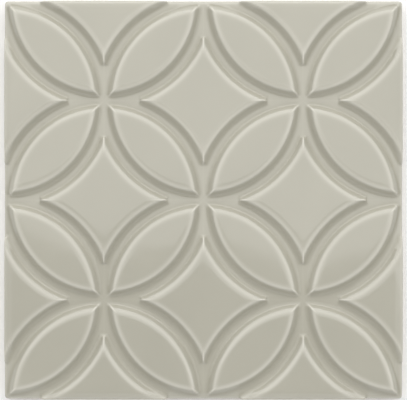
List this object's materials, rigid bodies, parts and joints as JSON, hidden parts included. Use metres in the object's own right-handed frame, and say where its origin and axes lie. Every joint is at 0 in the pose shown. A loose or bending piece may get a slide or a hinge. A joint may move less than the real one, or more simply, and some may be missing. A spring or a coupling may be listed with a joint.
{
  "type": "relief wall tile",
  "caption": "Square glazed ceramic wall tile with a pressed relief of interlocking circles that leaves raised petals and diamonds.",
  "frame": {"origin": "centre of the back, on the level that the tile's back ribs rest on", "axes": "+Z out of the glazed relief face, +X and +Y square to the tile's edges"},
  "size_m": [0.148, 0.148, 0.0094],
  "materials": {
    "glaze": "gloss, grey-beige"
  },
  "bodies": {
    "root": {"tile": "glaze"}
  },
  "joints": []
}
